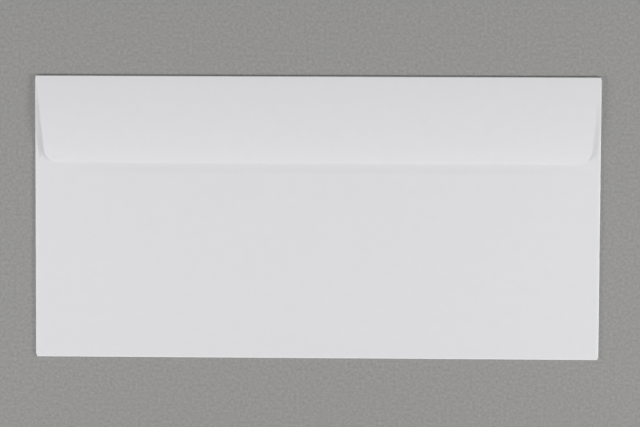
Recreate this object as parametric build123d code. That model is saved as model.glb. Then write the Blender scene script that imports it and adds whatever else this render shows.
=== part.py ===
"""Paper envelope: one sheet folded into a flat pocket, with a closing flap over the pocket's top edge.

Millimetres. The envelope lies on its address panel with the closing flap on top. X runs along its
length, +Y points at the crease of the closing flap and +Z is up. The origin is the middle of the
underside.
"""

from build123d import *

import os
from math import cos, radians, sin, tan

# Whole envelope
LENGTH = 220.0  # along X, over the two side creases
HEIGHT = 110.0  # along Y, from the bottom crease to the top crease
PAPER = 0.12  # thickness of the sheet

# Closing flap, folded down from the top crease and bowed by the spring of the paper
FLAP_DEPTH = 33.8  # from the top crease to the free edge
FLAP_TAPER = 6.5  # degrees that each end leans in
FLAP_CORNER = 5.0  # radius of the two free corners
FLAP_RISE = 4.7  # degrees that the flap climbs as it leaves its crease
FLAP_FALL = 5.0  # degrees that it comes down at its free edge
FLAP_CLEARANCE = 0.04  # between its free edge and the back panel

# Back panel, folded up from the bottom crease
BACK_INSET = 0.4  # from each side crease to the panel's side edge
THROAT_LAP = 18.8  # how far the flap reaches below the panel's top edge
SHOULDER_LAP = 1.3  # how far the flap reaches below the panel's shoulders
SHOULDER_RUN = 20.0  # length along X of each sloping shoulder
SHOULDER_CORNER = 3.0  # radius at the foot of the slope
THROAT_CORNER = 8.0  # radius at the top of the slope

# Side flaps, folded in over the address panel and glued under the back panel
SIDE_FLAP_WIDTH = 18.0  # from the side crease to the inner edge
SIDE_FLAP_TAPER = 20.0  # degrees that its two ends slope
SIDE_FLAP_CORNER = 4.0  # radius of its two inner corners
SIDE_RADIUS = 0.10  # inside the side crease
CORNER_NOTCH = 0.6  # cut from each end of a side crease, so that it clears the long creases

# Side seams
GLUE_FILM = 0.03  # thickness of the glue
SEAM_INSET = 4.0  # from the back panel's side edge to the glue
SEAM_WIDTH = 8.0  # along X
SEAM_MARGIN = 2.0  # from each end of the glue to the nearest edge of the paper

# Undersides of the layers above the address panel
SIDE_FLAP_Z = PAPER + 2 * SIDE_RADIUS
GLUE_Z = SIDE_FLAP_Z + PAPER
BACK_Z = GLUE_Z + GLUE_FILM
BACK_TOP_Z = BACK_Z + PAPER

# Side creases: each is a half turn that starts where the flat of the address panel ends
SIDE_START_X = LENGTH / 2 - PAPER - SIDE_RADIUS
SIDE_FLAP_INNER_X = LENGTH / 2 - SIDE_FLAP_WIDTH

# Bottom crease: a half turn from the address panel up to the back panel
BOTTOM_RADIUS = (BACK_Z - PAPER) / 2
BOTTOM_START_Y = -HEIGHT / 2 + PAPER + BOTTOM_RADIUS
BACK_HALF_WIDTH = LENGTH / 2 - BACK_INSET

# Top crease and the bow that runs on from it to the free edge. The chord of the bow slopes down by
# half the difference of its end slopes, so the crease is as much higher than the free edge.
RISE = radians(FLAP_RISE)
FALL = radians(FLAP_FALL)
CHORD_SLOPE = tan((FALL - RISE) / 2)
FREE_EDGE_Z = BACK_TOP_Z + FLAP_CLEARANCE
TOP_RADIUS = (FREE_EDGE_Z - PAPER + CHORD_SLOPE * (FLAP_DEPTH - PAPER)) / (
    1 + cos(RISE) + CHORD_SLOPE * (1 - sin(RISE))
)
TOP_START_Y = HEIGHT / 2 - PAPER - TOP_RADIUS
BOW_REACH = FLAP_DEPTH - PAPER - TOP_RADIUS * (1 - sin(RISE))
BOW_RADIUS = BOW_REACH / (sin(RISE) + sin(FALL))

# Edges that the closing flap covers follow its free edge
FREE_EDGE_Y = HEIGHT / 2 - FLAP_DEPTH
SHOULDER_Y = FREE_EDGE_Y + SHOULDER_LAP
THROAT_Y = FREE_EDGE_Y + THROAT_LAP

# Ends of the side creases
SIDE_TOP_Y = TOP_START_Y - CORNER_NOTCH
SIDE_BOTTOM_Y = BOTTOM_START_Y + CORNER_NOTCH


def bent_section(centre, radius, start, turn):
    """The section of bent paper: a ring sector that turns through turn degrees from the angle start."""
    inside = CenterArc(centre, radius, start, turn)
    outside = CenterArc(centre, radius + PAPER, start, turn)
    return make_face([inside, outside, Line(inside @ 0, outside @ 0), Line(inside @ 1, outside @ 1)])


def corner_box(x, y, z, sizes):
    """A box whose lowest corner is at x, y, z."""
    return Pos(x, y, z) * Box(*sizes, align=(Align.MIN, Align.MIN, Align.MIN))


def address_panel():
    """The flat panel between the four creases."""
    sizes = (2 * SIDE_START_X, TOP_START_Y - BOTTOM_START_Y, PAPER)
    return corner_box(-SIDE_START_X, BOTTOM_START_Y, 0, sizes)


def back_panel():
    """The panel that closes the pocket: the bottom crease, and a sheet with two sloping shoulders."""
    throat_end_x = BACK_HALF_WIDTH - SHOULDER_RUN
    corners = [
        (-BACK_HALF_WIDTH, BOTTOM_START_Y),
        (BACK_HALF_WIDTH, BOTTOM_START_Y),
        (BACK_HALF_WIDTH, SHOULDER_Y),
        (throat_end_x, THROAT_Y),
        (-throat_end_x, THROAT_Y),
        (-BACK_HALF_WIDTH, SHOULDER_Y),
    ]
    outline = make_face(Polyline(corners, close=True))
    outline = fillet(outline.vertices().group_by(Axis.Y)[1], SHOULDER_CORNER)
    outline = fillet(outline.vertices().group_by(Axis.Y)[-1], THROAT_CORNER)
    sheet = Pos(0, 0, BACK_Z) * extrude(outline, PAPER)
    section = bent_section((BOTTOM_START_Y, PAPER + BOTTOM_RADIUS), BOTTOM_RADIUS, 90, 180)
    crease = extrude(Plane.YZ * section, BACK_HALF_WIDTH, both=True)
    return sheet + crease


def closing_flap():
    """The closing flap: a tight crease that runs on as a gentle bow, cut to the flap's outline."""
    crease_z = PAPER + TOP_RADIUS
    bow_y = TOP_START_Y - (BOW_RADIUS - TOP_RADIUS) * sin(RISE)
    bow_z = crease_z - (BOW_RADIUS - TOP_RADIUS) * cos(RISE)
    spare_turn = 1.0  # degrees of bow beyond the free edge, which the outline cuts off
    crease = bent_section((TOP_START_Y, crease_z), TOP_RADIUS, -90, 180 - FLAP_RISE)
    bow = bent_section((bow_y, bow_z), BOW_RADIUS, 90 - FLAP_RISE, FLAP_RISE + FLAP_FALL + spare_turn)
    strip = extrude(Plane.YZ * crease, SIDE_START_X, both=True) + extrude(Plane.YZ * bow, SIDE_START_X, both=True)
    free_corner_x = SIDE_START_X - (TOP_START_Y - FREE_EDGE_Y) * tan(radians(FLAP_TAPER))
    corners = [
        (-SIDE_START_X, HEIGHT / 2),
        (-SIDE_START_X, TOP_START_Y),
        (-free_corner_x, FREE_EDGE_Y),
        (free_corner_x, FREE_EDGE_Y),
        (SIDE_START_X, TOP_START_Y),
        (SIDE_START_X, HEIGHT / 2),
    ]
    outline = make_face(Polyline(corners, close=True))
    outline = fillet(outline.vertices().group_by(Axis.Y)[0], FLAP_CORNER)
    taller_than_bow = FLAP_DEPTH
    return strip & extrude(outline, taller_than_bow)


def side_flap():
    """The right side flap: its crease, and a sheet that slopes at both ends."""
    end_slope = (SIDE_START_X - SIDE_FLAP_INNER_X) * tan(radians(SIDE_FLAP_TAPER))
    corners = [
        (SIDE_START_X, SIDE_BOTTOM_Y),
        (SIDE_START_X, SIDE_TOP_Y),
        (SIDE_FLAP_INNER_X, SIDE_TOP_Y - end_slope),
        (SIDE_FLAP_INNER_X, SIDE_BOTTOM_Y + end_slope),
    ]
    outline = make_face(Polyline(corners, close=True))
    outline = fillet(outline.vertices().group_by(Axis.X)[0], SIDE_FLAP_CORNER)
    sheet = Pos(0, 0, SIDE_FLAP_Z) * extrude(outline, PAPER)
    section = bent_section((SIDE_START_X, PAPER + SIDE_RADIUS), SIDE_RADIUS, -90, 180)
    crease = extrude(Plane.XZ.offset(-SIDE_BOTTOM_Y) * section, SIDE_BOTTOM_Y - SIDE_TOP_Y)
    return sheet + crease


def seam_glue():
    """The film of glue between the right side flap and the back panel."""
    outer_x = BACK_HALF_WIDTH - SEAM_INSET
    inner_x = outer_x - SEAM_WIDTH
    side_flap_end_y = SIDE_BOTTOM_Y + (SIDE_START_X - inner_x) * tan(radians(SIDE_FLAP_TAPER))
    start_y = side_flap_end_y + SEAM_MARGIN
    end_y = SHOULDER_Y - SEAM_MARGIN
    return corner_box(inner_x, start_y, GLUE_Z, (SEAM_WIDTH, end_y - start_y, GLUE_FILM))


def envelope_sheet():
    """The whole folded sheet as one solid, closed along both side seams."""
    right_side = side_flap() + seam_glue()
    left_side = mirror(right_side, Plane.YZ)
    return address_panel() + right_side + left_side + back_panel() + closing_flap()


os.makedirs("parts", exist_ok=True)
export_step(envelope_sheet(), "parts/envelope_sheet.step")
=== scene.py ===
from math import cos, pi, radians, sin, tan

import bpy
import numpy as np
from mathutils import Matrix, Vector


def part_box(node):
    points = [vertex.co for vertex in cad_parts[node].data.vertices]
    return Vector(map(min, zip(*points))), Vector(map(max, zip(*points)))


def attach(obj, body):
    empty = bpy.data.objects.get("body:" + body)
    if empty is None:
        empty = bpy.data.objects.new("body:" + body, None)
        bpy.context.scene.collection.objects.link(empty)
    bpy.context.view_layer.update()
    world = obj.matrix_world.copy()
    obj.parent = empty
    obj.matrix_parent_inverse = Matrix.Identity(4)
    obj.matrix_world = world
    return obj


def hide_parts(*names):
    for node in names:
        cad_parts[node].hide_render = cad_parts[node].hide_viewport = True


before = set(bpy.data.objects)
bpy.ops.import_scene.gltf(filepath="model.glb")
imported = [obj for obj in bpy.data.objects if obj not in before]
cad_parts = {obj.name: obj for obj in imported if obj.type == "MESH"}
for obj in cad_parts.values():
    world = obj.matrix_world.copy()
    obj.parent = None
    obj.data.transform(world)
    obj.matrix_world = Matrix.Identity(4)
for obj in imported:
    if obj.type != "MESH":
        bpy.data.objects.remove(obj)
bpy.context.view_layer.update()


# Folded sheet
# The whole envelope is one sheet of smooth white uncoated paper. Its side flaps are folded in over
# the address panel, the back panel is folded up and glued down over them, and the closing flap is
# folded down over the back panel, where the spring of its crease holds it in a low bow.
MM = 0.001
_, sheet_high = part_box("envelope_sheet")
HALF_LENGTH = sheet_high.x
HALF_HEIGHT = sheet_high.y
PAPER = 0.12 * MM

FLAP_DEPTH = 33.8 * MM
FLAP_TAPER = radians(6.5)
FLAP_CORNER = 5.0 * MM
FLAP_RISE = radians(4.7)
FLAP_FALL = radians(5.0)
FLAP_CLEARANCE = 0.04 * MM

BACK_INSET = 0.4 * MM
THROAT_LAP = 18.8 * MM
SHOULDER_LAP = 1.3 * MM
SHOULDER_RUN = 20.0 * MM
SHOULDER_CORNER = 3.0 * MM
THROAT_CORNER = 8.0 * MM

SIDE_FLAP_WIDTH = 18.0 * MM
SIDE_FLAP_TAPER = radians(20.0)
SIDE_FLAP_CORNER = 4.0 * MM
SIDE_RADIUS = 0.10 * MM
CORNER_NOTCH = 0.6 * MM
GLUE_FILM = 0.03 * MM

# The layers lie on each other in this order: address panel, side flaps, glue, back panel, closing flap.
HALF_PAPER = PAPER / 2
SIDE_START_X = HALF_LENGTH - PAPER - SIDE_RADIUS
SIDE_FLAP_RUN = SIDE_START_X - (HALF_LENGTH - SIDE_FLAP_WIDTH)
BACK_Z = 2 * PAPER + 2 * SIDE_RADIUS + GLUE_FILM
BOTTOM_RADIUS = (BACK_Z - PAPER) / 2
BOTTOM_START_Y = -HALF_HEIGHT + PAPER + BOTTOM_RADIUS
BACK_HALF_WIDTH = HALF_LENGTH - BACK_INSET

# The chord of the flap's bow slopes down by half the difference of its two end slopes, which sets how
# far its crease has to open for the free edge to come down onto the back panel.
CHORD_SLOPE = tan((FLAP_FALL - FLAP_RISE) / 2)
TOP_RADIUS = (BACK_Z + FLAP_CLEARANCE + CHORD_SLOPE * (FLAP_DEPTH - PAPER)) / (
    1 + cos(FLAP_RISE) + CHORD_SLOPE * (1 - sin(FLAP_RISE))
)
TOP_START_Y = HALF_HEIGHT - PAPER - TOP_RADIUS
BOW_REACH = FLAP_DEPTH - PAPER - TOP_RADIUS * (1 - sin(FLAP_RISE))
BOW_RADIUS = BOW_REACH / (sin(FLAP_RISE) + sin(FLAP_FALL))

FREE_EDGE_Y = HALF_HEIGHT - FLAP_DEPTH
SHOULDER_Y = FREE_EDGE_Y + SHOULDER_LAP
THROAT_Y = FREE_EDGE_Y + THROAT_LAP
SIDE_TOP_Y = TOP_START_Y - CORNER_NOTCH
SIDE_BOTTOM_Y = BOTTOM_START_Y + CORNER_NOTCH


def stations(start, *stretches):
    """Places along a run: each stretch (end, step) carries on to its end in even steps of about step."""
    places = [np.array([start])]
    for end, step in stretches:
        begin = places[-1][-1]
        places.append(np.linspace(begin, end, max(1, round((end - begin) / step)) + 1)[1:])
    return np.concatenate(places)


def folded_line(start, heading, stretches):
    """The middle of the sheet in section: a chain of arcs. A stretch is its stations and its whole turn.

    A step of length h that turns by a moves by its chord, h sin(a/2) / (a/2), along the heading that it
    has half-way through the turn.
    """
    length = np.concatenate([np.diff(places) for places, _ in stretches])
    turn = np.concatenate([np.diff(places) * whole / np.ptp(places) for places, whole in stretches])
    half_way = heading + np.cumsum(turn) - turn / 2
    chord = length * np.sinc(turn / (2 * pi))
    steps = chord[:, None] * np.stack([np.cos(half_way), np.sin(half_way)], axis=1)
    return np.concatenate([[start], np.array(start) + np.cumsum(steps, axis=0)])


def cut_corner(before, corner, after, radius, count=10):
    """The arc that rounds a corner of a cut edge: count + 1 points between its two tangent points.

    The centre lies on the line that halves the corner, radius / sin(half the angle) from the corner,
    and the arc swings from the one tangent point to the other.
    """
    before, corner, after = np.array(before), np.array(corner), np.array(after)
    one = (before - corner) / np.linalg.norm(before - corner)
    two = (after - corner) / np.linalg.norm(after - corner)
    half_angle = np.arccos(one @ two) / 2
    middle = (one + two) / np.linalg.norm(one + two)
    centre = corner + middle * radius / np.sin(half_angle)
    swing = np.linspace(-1, 1, count + 1)[:, None] * (pi / 2 - half_angle)
    across = (two - one) / np.linalg.norm(two - one)
    return centre + radius * (np.sin(swing) * across - np.cos(swing) * middle)


def smooth_rise(value):
    """0 below 0, 1 above 1, and the cubic 3v^2 - 2v^3 between them, which starts and ends level."""
    value = np.clip(value, 0, 1)
    return value * value * (3 - 2 * value)


def half_width_of_back(y):
    """Half the back panel's width at y: straight sides, then a sloping shoulder, with both corners round."""
    shoulder = (BACK_HALF_WIDTH, SHOULDER_Y)
    throat_end = (BACK_HALF_WIDTH - SHOULDER_RUN, THROAT_Y)
    foot = cut_corner((BACK_HALF_WIDTH, BOTTOM_START_Y), shoulder, throat_end, SHOULDER_CORNER)
    top = cut_corner(shoulder, throat_end, (0, THROAT_Y), THROAT_CORNER)
    edge = np.concatenate([[(BACK_HALF_WIDTH, BOTTOM_START_Y)], foot, top])
    return np.interp(y, edge[:, 1], edge[:, 0])


def half_width_of_flap(y):
    """Half the closing flap's width at y: it tapers evenly to the round corners of its free edge."""
    lean = (TOP_START_Y - FREE_EDGE_Y) * tan(FLAP_TAPER)
    root = (SIDE_START_X, TOP_START_Y)
    corner = (SIDE_START_X - lean, FREE_EDGE_Y)
    edge = np.concatenate([cut_corner(root, corner, (0, FREE_EDGE_Y), FLAP_CORNER, 24)[::-1], [root]])
    return np.interp(y, edge[:, 1], edge[:, 0])


def side_flap_end(run):
    """How far a side flap's end has sloped in from its notch, at run from the crease, with a round corner."""
    slope = SIDE_FLAP_RUN * tan(SIDE_FLAP_TAPER)
    arc = cut_corner((0, 0), (SIDE_FLAP_RUN, slope), (SIDE_FLAP_RUN, HALF_HEIGHT), SIDE_FLAP_CORNER)
    edge = np.concatenate([[(0, 0)], arc])
    return np.interp(run, edge[:, 0], edge[:, 1])


# The long way of the sheet runs from the throat down the back panel, round the bottom crease, up the
# address panel, round the top crease and down the closing flap. Its rows stand closer together beside
# the creases, below the free edge and at the cut edges, where the shade changes quickly.
BACK_RUN = THROAT_Y - BOTTOM_START_Y
back_rows = stations(0, (1.6 * MM, 0.2 * MM), (15 * MM, 1.2 * MM), (18 * MM, 0.5 * MM),
                     (26 * MM, 0.4 * MM), (BACK_RUN - 1 * MM, 2.2 * MM), (BACK_RUN, 0.2 * MM))
BOTTOM_RUN = pi * (BOTTOM_RADIUS + HALF_PAPER)
bottom_rows = stations(0, (BOTTOM_RUN, BOTTOM_RUN / 8))
address_rows = stations(BOTTOM_START_Y, (SIDE_BOTTOM_Y, CORNER_NOTCH), (SIDE_TOP_Y, 3.6 * MM),
                        (TOP_START_Y, CORNER_NOTCH))
TOP_RUN = (pi - FLAP_RISE) * (TOP_RADIUS + HALF_PAPER)
top_rows = stations(0, (TOP_RUN, TOP_RUN / 12))
BOW_RUN = (FLAP_RISE + FLAP_FALL) * (BOW_RADIUS + HALF_PAPER)
bow_rows = stations(0, (1 * MM, 0.2 * MM), (BOW_RUN - 8 * MM, 1.0 * MM), (BOW_RUN - 1 * MM, 0.4 * MM),
                    (BOW_RUN, 0.1 * MM))
section = folded_line(
    (THROAT_Y, BACK_Z + HALF_PAPER),
    pi,
    [(back_rows, 0), (bottom_rows, pi), (address_rows, 0), (top_rows, pi - FLAP_RISE),
     (bow_rows, FLAP_RISE + FLAP_FALL)],
)
ends = np.cumsum([len(back_rows), len(bottom_rows) - 1, len(address_rows) - 1, len(top_rows) - 1])
row_y, row_z = section[:, 0], section[:, 1]
half_width = np.full(len(section), SIDE_START_X)
half_width[: ends[0]] = half_width_of_back(row_y[: ends[0]])
half_width[ends[0] : ends[1] - 1] = BACK_HALF_WIDTH
half_width[ends[3] - 1 :] = half_width_of_flap(row_y[ends[3] - 1 :])
distance = np.concatenate([[0], np.cumsum(np.concatenate(
    [np.diff(rows) for rows in (back_rows, bottom_rows, address_rows, top_rows, bow_rows)]))])

COLUMNS = 161
across = np.linspace(-1, 1, COLUMNS)
main_x = half_width[:, None] * across
main_y = np.repeat(row_y[:, None], COLUMNS, axis=1)
main_z = np.repeat(row_z[:, None], COLUMNS, axis=1)
main_flat = np.stack([main_x, np.repeat(distance[:, None], COLUMNS, axis=1)], axis=-1)

# The air left in the pocket lifts the back panel a little, except where the edge of the closing flap
# has pressed it down, which leaves a faint line below that edge. Both panels are slightly uneven.
def cockle(x, y):
    """The faint unevenness of paper: three long sine waves that cross, added and brought to 0..1."""
    first = np.sin(2 * pi * (x / (61 * MM) + y / (97 * MM)))
    second = np.sin(2 * pi * (x / (38 * MM) - y / (53 * MM)) + 1)
    third = np.sin(2 * pi * (x / (23 * MM) + y / (31 * MM)) + 2)
    return (first + second + third) / 6 + 0.5


COCKLE = 0.06 * MM
PUFF = 0.10 * MM
LINE_TOP = 0.6 * MM  # from the free edge to the pressed line
LINE_WIDTH = 3.5 * MM
LINE_SLOWNESS = 1.3  # above 1, the panel leaves the pressed line more slowly
BOTTOM_FADE = 45 * MM  # over which the lift grows from the bottom crease
SIDE_MARGIN = 4 * MM  # flat strip inside each side edge
SIDE_FADE = 30 * MM  # over which the lift grows from there
back = slice(0, ends[0])
down_line = np.clip((FREE_EDGE_Y - main_y[back] - LINE_TOP) / LINE_WIDTH, 0, 1)
to_bottom = smooth_rise((main_y[back] - BOTTOM_START_Y) / BOTTOM_FADE)
to_side = smooth_rise((BACK_HALF_WIDTH - SIDE_MARGIN - abs(main_x[back])) / SIDE_FADE)
lift = PUFF + COCKLE * cockle(main_x[back], main_y[back])
main_z[back] += lift * smooth_rise(down_line**LINE_SLOWNESS) * to_bottom * to_side

# Just inside its free edge the closing flap arches up a little, and from there to its crease it sags.
CURL = 0.14 * MM
CURL_LENGTH = 6 * MM
CURL_FADE = 0.25  # share of the flap beside its crease over which the curl dies out
SAG = 0.05 * MM


def curl(from_edge):
    """A curl towards the free edge: distance s from it, over the length L, times e to the power 1 - s/L.

    It is 0 at the free edge, rises steeply to 1 at L, and dies away slowly.
    """
    return from_edge / CURL_LENGTH * np.exp(1 - from_edge / CURL_LENGTH)


bow = slice(ends[3] - 1, None)
from_edge = main_y[bow] - FREE_EDGE_Y
bow_share = np.clip(from_edge / (TOP_START_Y - FREE_EDGE_Y), 0, 1)
sag = SAG + COCKLE * cockle(main_x[bow] + HALF_LENGTH, main_y[bow])
curl_left = smooth_rise((1 - bow_share) / CURL_FADE)
main_z[bow] += CURL * curl(from_edge) * curl_left - sag * np.sin(pi * bow_share)

# Each side flap carries on from the edge of the address panel: round its crease, then inward.
SIDE_CREASE_RUN = pi * (SIDE_RADIUS + HALF_PAPER)
crease_places = stations(0, (SIDE_CREASE_RUN, SIDE_CREASE_RUN / 8))
flap_places = stations(0, (SIDE_FLAP_RUN - 4 * MM, 1.2 * MM), (SIDE_FLAP_RUN - 0.6 * MM, 0.4 * MM),
                       (SIDE_FLAP_RUN, 0.1 * MM))
side_section = folded_line((SIDE_START_X, HALF_PAPER), 0, [(crease_places, pi), (flap_places, 0)])[1:]
side_run = np.concatenate([crease_places[1:], SIDE_CREASE_RUN + flap_places[1:]])
address = slice(ends[1], ends[2] - 1)
share = (row_y[address] - SIDE_BOTTOM_Y) / (SIDE_TOP_Y - SIDE_BOTTOM_Y)
end_slope = side_flap_end(side_run - SIDE_CREASE_RUN)
wing_y = (SIDE_BOTTOM_Y + end_slope) + share[:, None] * (SIDE_TOP_Y - SIDE_BOTTOM_Y - 2 * end_slope)
wing_x = np.broadcast_to(side_section[:, 0], wing_y.shape)
wing_z = np.broadcast_to(side_section[:, 1], wing_y.shape)
wing_flat = np.stack(
    [np.broadcast_to(SIDE_START_X + side_run, wing_y.shape), wing_y - BOTTOM_START_Y + distance[ends[1] - 1]],
    axis=-1,
)


def quads(index):
    """The faces of a grid of points, from the array of their numbers: one for each square of four."""
    corners = [index[:-1, :-1], index[:-1, 1:], index[1:, 1:], index[1:, :-1]]
    return np.stack(corners, axis=-1).reshape(-1, 4)


main_index = np.arange(main_x.size).reshape(main_x.shape)
wing_count = wing_y.size
right_index = main_x.size + np.arange(wing_count).reshape(wing_y.shape)
left_index = right_index + wing_count
right_strip = np.concatenate([main_index[address, -1:], right_index], axis=1)
left_strip = np.concatenate([main_index[address, :1], left_index], axis=1)
points = np.concatenate([
    np.stack([main_x, main_y, main_z], axis=-1).reshape(-1, 3),
    np.stack([wing_x, wing_y, wing_z], axis=-1).reshape(-1, 3),
    np.stack([-wing_x, wing_y, wing_z], axis=-1).reshape(-1, 3),
])
right_flat = wing_flat.reshape(-1, 2)
flat = np.concatenate([main_flat.reshape(-1, 2), right_flat, right_flat * (-1, 1)])
faces = np.concatenate([quads(main_index), quads(right_strip), quads(left_strip)[:, ::-1]])

sheet_mesh = bpy.data.meshes.new("folded_paper")
sheet_mesh.from_pydata(points, [], faces)
# The map is the sheet before folding, in metres: across it from its middle, and along it from the throat.
blank = sheet_mesh.uv_layers.new(name="blank")
corner_points = np.empty(len(sheet_mesh.loops), dtype=np.int32)
sheet_mesh.loops.foreach_get("vertex_index", corner_points)
blank.data.foreach_set("uv", flat[corner_points].astype(np.float32).ravel())

# Each crease is painted paler along its line, partly for crushed fibres and partly as a painted highlight
# where its rounding catches the light: e to the power -(distance / width) squared, so 1 on its line.
CRUSHED_AND_HIGHLIGHT_WIDTH = 0.5 * MM
fold_lines = [distance[ends[0] - 1 : ends[1]].mean(), distance[ends[2] - 1 : ends[3]].mean()]
side_line = SIDE_START_X + SIDE_CREASE_RUN / 2
to_folds = [abs(flat[:, 1] - line) for line in fold_lines] + [abs(abs(flat[:, 0]) - side_line)]
to_fold = np.min(to_folds, axis=0)
crushed_and_highlight = sheet_mesh.attributes.new("crushed_and_highlight", "FLOAT", "POINT")
crushed_and_highlight.data.foreach_set("value", np.exp(-((to_fold / CRUSHED_AND_HIGHLIGHT_WIDTH) ** 2)).astype(np.float32))

CUT_EDGE_ANGLE = radians(50)  # a bend sharper than this is a cut edge
folded_paper = bpy.data.objects.new("folded_paper", sheet_mesh)
bpy.context.collection.objects.link(folded_paper)
thickness = folded_paper.modifiers.new("paper_thickness", "SOLIDIFY")
thickness.thickness = PAPER
thickness.offset = 0
thickness.use_even_offset = True
depsgraph = bpy.context.evaluated_depsgraph_get()
solid_mesh = bpy.data.meshes.new_from_object(folded_paper.evaluated_get(depsgraph))
folded_paper.modifiers.clear()
folded_paper.data = solid_mesh
solid_mesh.shade_smooth()
solid_mesh.set_sharp_from_angle(angle=CUT_EDGE_ANGLE)


def uncoated_paper():
    """White uncoated paper: faint clouds of thick and thin pulp, a fine felt of fibres, and creases painted
    paler, for crushed fibres and as a painted highlight on their rounding.
    """
    material = bpy.data.materials.new("uncoated_paper")
    material.use_nodes = True
    nodes, links = material.node_tree.nodes, material.node_tree.links
    shader = nodes["Principled BSDF"]
    shader.inputs["Roughness"].default_value = 0.85
    shader.inputs["Specular IOR Level"].default_value = 0.35
    place = nodes.new("ShaderNodeTexCoord")

    clouds = nodes.new("ShaderNodeTexNoise")
    clouds.inputs["Scale"].default_value = 240
    clouds.inputs["Detail"].default_value = 4
    clouds.inputs["Roughness"].default_value = 0.6
    links.new(place.outputs["Object"], clouds.inputs["Vector"])
    pulp = nodes.new("ShaderNodeValToRGB")
    pulp.color_ramp.elements[0].position = 0.3
    pulp.color_ramp.elements[0].color = (0.778, 0.777, 0.796, 1)
    pulp.color_ramp.elements[1].position = 0.7
    pulp.color_ramp.elements[1].color = (0.790, 0.789, 0.808, 1)
    links.new(clouds.outputs["Fac"], pulp.inputs["Fac"])

    crushed_and_highlight_mask = nodes.new("ShaderNodeAttribute")
    crushed_and_highlight_mask.attribute_name = "crushed_and_highlight"
    # Painted highlight: the creases are mixed towards a paler white, which stands for crushed fibres and for
    # the light caught on their rounding.
    paler = nodes.new("ShaderNodeMix")
    paler.data_type = "RGBA"
    paler.inputs["B"].default_value = (0.83, 0.83, 0.845, 1)
    links.new(crushed_and_highlight_mask.outputs["Fac"], paler.inputs["Factor"])
    links.new(pulp.outputs["Color"], paler.inputs["A"])
    links.new(paler.outputs["Result"], shader.inputs["Base Color"])

    fibres = nodes.new("ShaderNodeTexNoise")
    fibres.inputs["Scale"].default_value = 4200
    fibres.inputs["Detail"].default_value = 3
    links.new(place.outputs["Object"], fibres.inputs["Vector"])
    felt = nodes.new("ShaderNodeBump")
    felt.inputs["Strength"].default_value = 0.12
    felt.inputs["Distance"].default_value = 0.02 * MM
    links.new(fibres.outputs["Fac"], felt.inputs["Height"])
    links.new(felt.outputs["Normal"], shader.inputs["Normal"])
    return material


folded_paper.data.materials.clear()
folded_paper.data.materials.append(uncoated_paper())
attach(folded_paper, "root")
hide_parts("envelope_sheet")


# Floor
# A plain pale grey card that the envelope lies on. It is one flat square, wide enough to fill every
# view, with its top at the height of the envelope's underside.
def card():
    """Pale grey card with a very faint grain."""
    material = bpy.data.materials.new("grey_card")
    material.use_nodes = True
    nodes, links = material.node_tree.nodes, material.node_tree.links
    shader = nodes["Principled BSDF"]
    shader.inputs["Roughness"].default_value = 0.9
    shader.inputs["Specular IOR Level"].default_value = 0.2
    place = nodes.new("ShaderNodeTexCoord")
    grain = nodes.new("ShaderNodeTexNoise")
    grain.inputs["Scale"].default_value = 900
    grain.inputs["Detail"].default_value = 3
    links.new(place.outputs["Object"], grain.inputs["Vector"])
    tone = nodes.new("ShaderNodeValToRGB")
    tone.color_ramp.elements[0].position = 0.25
    tone.color_ramp.elements[0].color = (0.285, 0.282, 0.273, 1)
    tone.color_ramp.elements[1].position = 0.75
    tone.color_ramp.elements[1].color = (0.372, 0.369, 0.360, 1)
    links.new(grain.outputs["Fac"], tone.inputs["Fac"])
    links.new(tone.outputs["Color"], shader.inputs["Base Color"])
    return material


FLOOR_HALF = 4.0
floor_mesh = bpy.data.meshes.new("floor")
floor_corners = [(-FLOOR_HALF, -FLOOR_HALF, 0), (FLOOR_HALF, -FLOOR_HALF, 0),
                 (FLOOR_HALF, FLOOR_HALF, 0), (-FLOOR_HALF, FLOOR_HALF, 0)]
floor_mesh.from_pydata(floor_corners, [], [(0, 1, 2, 3)])
floor_mesh.materials.append(card())
floor = bpy.data.objects.new("floor", floor_mesh)
bpy.context.collection.objects.link(floor)


# Light
# Four soft boxes and a dim sky. The two at the sides are low, so they lay soft shadow beside every
# raised edge, and their grids keep most of their light off the rest of the floor. The large one on
# the near side is brighter than the one on the far side.
def soft_box(name, place, size, power, spread=180):
    """A square light at place, size across, turned to face the middle of the envelope, itself unseen."""
    light = bpy.data.lights.new(name, "AREA")
    light.size = size
    light.energy = power
    light.spread = radians(spread)
    lamp = bpy.data.objects.new(name, light)
    lamp.location = place
    lamp.rotation_euler = (-Vector(place)).to_track_quat("-Z", "Y").to_euler()
    lamp.visible_camera = False
    bpy.context.collection.objects.link(lamp)


soft_box("near_box", (0, -6.7, 7.44), 4.0, 235)
soft_box("far_box", (0, 1.0, 1.19), 0.78, 3.3)
soft_box("right_box", (1.01, -0.27, 0.34), 0.22, 1.76, spread=80)
soft_box("left_box", (-0.83, -0.22, 0.28), 0.2, 0.90, spread=80)
sky = bpy.data.worlds.new("sky")
sky.use_nodes = True
sky.node_tree.nodes["Background"].inputs["Color"].default_value = (1, 1, 1, 1)
sky.node_tree.nodes["Background"].inputs["Strength"].default_value = 0.20
bpy.context.scene.world = sky
bpy.context.scene.view_settings.view_transform = "Standard"


# Camera
# It looks almost straight down, leaning a little towards the top crease and the right-hand end.
camera_data = bpy.data.cameras.new("camera")
camera_data.lens = 85
camera_data.sensor_width = 36
camera_data.clip_start = 0.01
camera = bpy.data.objects.new("camera", camera_data)
camera.location = (11.1 * MM, 27.3 * MM, 588.7 * MM)
camera.rotation_euler = (radians(-2.489), radians(0.977), radians(0.263))
bpy.context.collection.objects.link(camera)
bpy.context.scene.camera = camera
